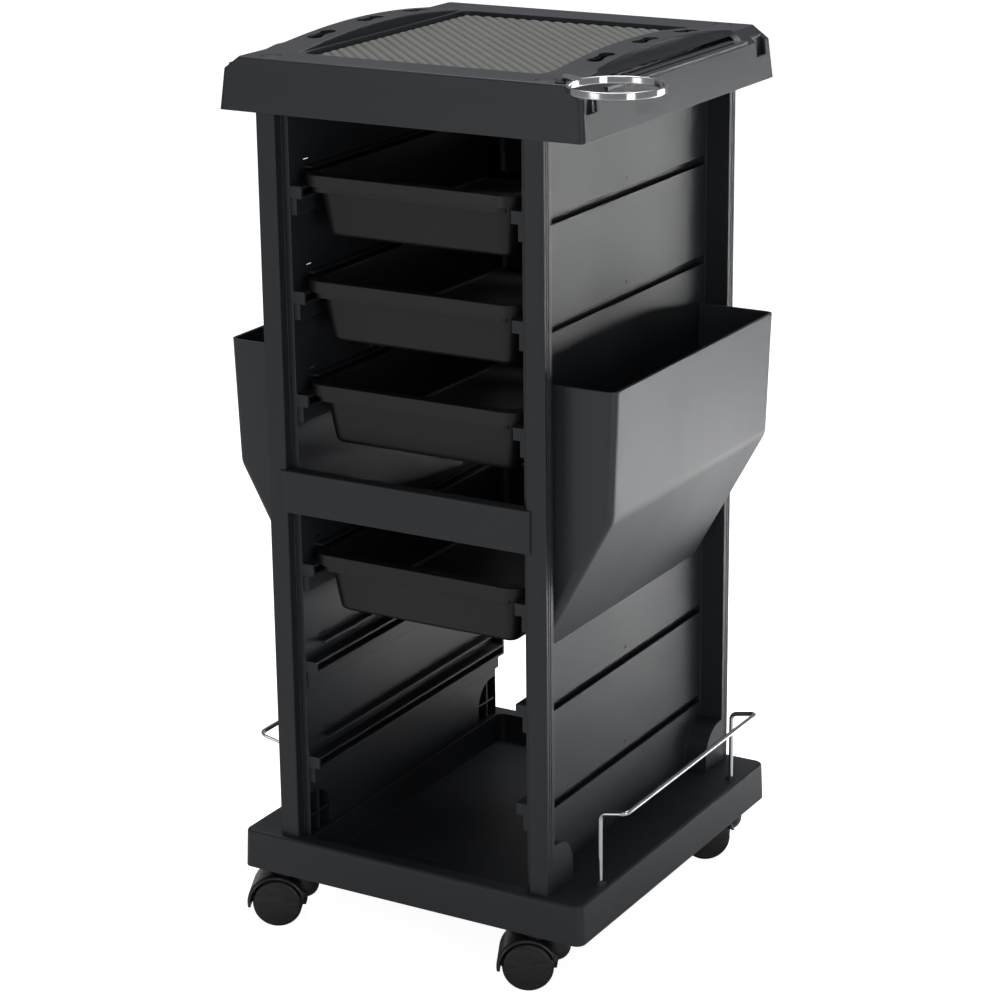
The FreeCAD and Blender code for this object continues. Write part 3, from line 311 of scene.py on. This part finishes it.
# ---------------------------------------------------------------- the materials
MATERIALS = {
    "frame_plastic": moulded_plastic("frame_plastic", (0.0265, 0.030, 0.0365), 0.44, 0.10,
                                     edge=2.4),
    "deck_plastic": moulded_plastic("deck_plastic", (0.037, 0.041, 0.049), 0.42, 0.10, edge=2.2),
    "tray_plastic": moulded_plastic("tray_plastic", (0.0110, 0.0120, 0.0100), 0.38, 0.07, edge=2.6),
    "bin_plastic": moulded_plastic("bin_plastic", (0.045, 0.052, 0.061), 0.40, 0.08, edge=2.2),
    "insert_plastic": moulded_plastic("insert_plastic", (0.012, 0.012, 0.013), 0.36, 0.05),
    "bush_plastic": moulded_plastic("bush_plastic", (0.012, 0.012, 0.013), 0.38, 0.05),
    "socket_plastic": moulded_plastic("socket_plastic", (0.018, 0.018, 0.019), 0.45, 0.06),
    "caster_plastic": moulded_plastic("caster_plastic", (0.016, 0.016, 0.017), 0.34, 0.05,
                                      coat=0.2),
    "caster_wheel": caster_tread("caster_wheel", (0.019, 0.019, 0.020)),
    "chrome_ring": chrome("chrome_ring"),
    "chrome_wire": chrome("chrome_wire"),
    "steel_screw": plated_steel("steel_screw"),
    "zinc_steel": plated_steel("zinc_steel"),
    "mat_rubber": ribbed_rubber("mat_rubber"),
}


def finish_cad_nodes():
    """Every carried CAD node gets the material of its slot."""
    for entry in frame["record"]["subparts"]:
        mesh = nodes[entry["node"]].data
        mesh.materials.clear()
        mesh.materials.append(MATERIALS[entry["material_slot"]])


# ---------------------------------------------------------------- ribbed mat
def rounded_rectangle_span(half_x, half_y, radius, origin, direction, normal, offset):
    """The two points where a line crosses a rounded rectangle.

    The line runs along direction, at this offset from the origin along normal.
    """
    def inside(point):
        dx = max(abs(point.x) - (half_x - radius), 0.0)
        dy = max(abs(point.y) - (half_y - radius), 0.0)
        return dx * dx + dy * dy <= radius * radius and abs(point.x) <= half_x \
            and abs(point.y) <= half_y

    centre = normal * offset
    reach = half_x + half_y
    hits = [k for k in range(-SPAN_STEPS, SPAN_STEPS + 1)
            if inside(centre + direction * (reach * k / SPAN_STEPS))]
    if not hits:
        return None
    ends = []
    for k, outward in ((hits[0], -1), (hits[-1], 1)):
        low, high = reach * k / SPAN_STEPS, reach * (k + outward) / SPAN_STEPS
        for _ in range(SPAN_HALVINGS):
            middle = (low + high) / 2
            if inside(centre + direction * middle):
                low = middle
            else:
                high = middle
        ends.append(origin + centre + direction * low)
    return ends


def mesh_object(name, verts, faces, material, body):
    mesh = bpy.data.meshes.new(name)
    mesh.from_pydata([tuple(v) for v in verts], [], faces)
    mesh.validate()
    mesh.update()
    mesh.shade_smooth()
    mesh.set_sharp_from_angle(angle=SMOOTH_ANGLE)
    obj = bpy.data.objects.new(name, mesh)
    bpy.context.scene.collection.objects.link(obj)
    mesh.materials.append(material)
    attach(obj, body)
    return obj


def ribbed_mat():
    """The mat: a flat slab with a border, and a sheet of diagonal round ribs on it."""
    low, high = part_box("top_mat")
    centre = Vector(((low.x + high.x) / 2, (low.y + high.y) / 2, 0.0))
    half_x = (high.x - low.x) / 2
    half_y = (high.y - low.y) / 2
    slab_top = high.z - RIB_HEIGHT
    verts, faces = [], []

    def ring(inset, z, radius):
        start = len(verts)
        for cx, cy, first in ((1, -1, -90), (1, 1, 0), (-1, 1, 90), (-1, -1, 180)):
            for step in range(9):
                angle = math.radians(first + 90 * step / 8)
                verts.append(centre + Vector((
                    cx * (half_x - inset - radius) + radius * math.cos(angle),
                    cy * (half_y - inset - radius) + radius * math.sin(angle), z)))
        return list(range(start, len(verts)))

    rings = [ring(0.0, low.z, MAT_CORNER_RADIUS),
             ring(0.0, slab_top - MAT_EDGE_ROUND, MAT_CORNER_RADIUS),
             ring(MAT_EDGE_ROUND, slab_top, MAT_CORNER_RADIUS - MAT_EDGE_ROUND),
             ring(MAT_BORDER, slab_top, 0.0040)]
    for first, second in zip(rings, rings[1:]):
        count = len(first)
        for k in range(count):
            faces.append((first[k], first[(k + 1) % count], second[(k + 1) % count], second[k]))
    faces.append(tuple(reversed(rings[0])))
    faces.append(tuple(rings[-1]))

    normal = Vector((-RIB_DIRECTION.y, RIB_DIRECTION.x, 0.0))
    span = abs(normal.x) * half_x + abs(normal.y) * half_y
    count = int(2 * span / (RIB_PITCH / RIB_STEPS))
    previous = None
    for index in range(count + 1):
        offset = -span + index * RIB_PITCH / RIB_STEPS
        ends = rounded_rectangle_span(half_x - RIB_INSET, half_y - RIB_INSET,
                                      RIB_CORNER_RADIUS, centre, RIB_DIRECTION, normal, offset)
        if ends is None:
            continue
        phase = (index % RIB_STEPS) / RIB_STEPS
        height = RIB_LIFT + RIB_HEIGHT * math.sin(math.pi * phase) ** 0.8
        start = len(verts)
        for end in ends:
            verts.append(Vector((end.x, end.y, slab_top + height)))
        for end in ends:
            verts.append(Vector((end.x, end.y, slab_top - RIB_FOOT)))
        row = (start, start + 1, start + 2, start + 3)
        if previous is None:
            faces.append((row[0], row[2], row[3], row[1]))
        else:
            p = previous
            faces.append((p[0], row[0], row[1], p[1]))
            faces.append((p[2], p[3], row[3], row[2]))
            faces.append((p[0], p[2], row[2], row[0]))
            faces.append((p[1], row[1], row[3], p[3]))
        previous = row
    faces.append((previous[0], previous[1], previous[3], previous[2]))
    mat = mesh_object("ribbed_mat", verts, faces, MATERIALS["mat_rubber"], "frame")
    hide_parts("top_mat")


# ---------------------------------------------------------------- plug caps
def rounded_caps():
    """The four plug caps with a rounded rim, which leaves a fine groove round each one."""
    low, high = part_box("plug_caps")
    profile = [(CAP_RADIUS, low.z), (CAP_RADIUS, high.z - 0.0009),
               (CAP_RADIUS - 0.0004, high.z - 0.0003), (CAP_RADIUS - 0.0011, high.z)]
    verts, faces = [], []
    for cx in (low.x + CAP_RADIUS, high.x - CAP_RADIUS):
        for cy in (low.y + CAP_RADIUS, high.y - CAP_RADIUS):
            rings = []
            for reach, z in profile:
                rings.append(range(len(verts), len(verts) + CAP_STEPS))
                for step in range(CAP_STEPS):
                    angle = 2 * math.pi * step / CAP_STEPS
                    verts.append(Vector((cx + reach * math.cos(angle),
                                         cy + reach * math.sin(angle), z)))
            for first, second in zip(rings, rings[1:]):
                for k in range(CAP_STEPS):
                    faces.append((first[k], first[(k + 1) % CAP_STEPS],
                                  second[(k + 1) % CAP_STEPS], second[k]))
            faces.append(tuple(reversed(rings[0])))
            faces.append(tuple(rings[-1]))
    caps = mesh_object("rounded_caps", verts, faces, MATERIALS["deck_plastic"], "frame")
    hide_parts("plug_caps")


# ---------------------------------------------------------------- studio
def studio():
    """Pale floor, pale sky and soft rectangular lights."""
    scene = bpy.context.scene
    mesh = bpy.data.meshes.new("floor")
    reach = FLOOR_HALF_SIZE
    mesh.from_pydata([(-reach, -reach, 0), (reach, -reach, 0), (reach, reach, 0),
                      (-reach, reach, 0)], [], [(0, 1, 2, 3)])
    floor = bpy.data.objects.new("floor", mesh)
    scene.collection.objects.link(floor)
    material, tree, shader = new_material("pale_floor")
    shader.inputs["Base Color"].default_value = PALE
    shader.inputs["Roughness"].default_value = 0.6
    shader.inputs["Specular IOR Level"].default_value = 0.2
    shader.inputs["Emission Color"].default_value = PALE
    seen = tree.nodes.new("ShaderNodeLightPath").outputs["Is Camera Ray"]
    tree.links.new(seen, shader.inputs["Emission Strength"])
    mesh.materials.append(material)

    world = bpy.data.worlds.new("studio")
    world.use_nodes = True
    tree = world.node_tree
    background = tree.nodes["Background"]
    background.inputs["Color"].default_value = SKY_COLOUR
    seen = tree.nodes.new("ShaderNodeLightPath").outputs["Is Camera Ray"]
    tree.links.new(remap(tree, seen, 0.0, 1.0, SKY_LIGHT, SKY_SEEN),
                   background.inputs["Strength"])
    scene.world = world

    for name, place, target, width, height, watts, spread in SOFTBOXES:
        light = bpy.data.lights.new(name, "AREA")
        light.shape = "RECTANGLE"
        light.size = width
        light.size_y = height
        light.energy = watts
        light.spread = math.radians(spread)
        obj = bpy.data.objects.new(name, light)
        scene.collection.objects.link(obj)
        aim = (Vector(target) - Vector(place)).to_track_quat("-Z", "Y").to_matrix().to_4x4()
        obj.matrix_world = Matrix.Translation(Vector(place) + BASE_MIDDLE) @ aim
        obj.visible_camera = False


def camera():
    """Three-quarter view from the front right, a little above the work top."""
    data = bpy.data.cameras.new("camera")
    data.sensor_width = SENSOR_MM
    data.lens = LENS_MM
    data.clip_end = 60.0
    obj = bpy.data.objects.new("camera", data)
    bpy.context.scene.collection.objects.link(obj)
    turn = (Matrix.Rotation(CAMERA_YAW, 4, "Z")
            @ Matrix.Rotation(math.pi / 2 + CAMERA_PITCH, 4, "X")
            @ Matrix.Rotation(CAMERA_ROLL, 4, "Z"))
    obj.matrix_world = Matrix.Translation(CAMERA_PLACE + BASE_MIDDLE) @ turn
    bpy.context.scene.camera = obj


finish_cad_nodes()
ribbed_mat()
rounded_caps()
studio()
camera()
bpy.context.scene.view_settings.view_transform = "Standard"
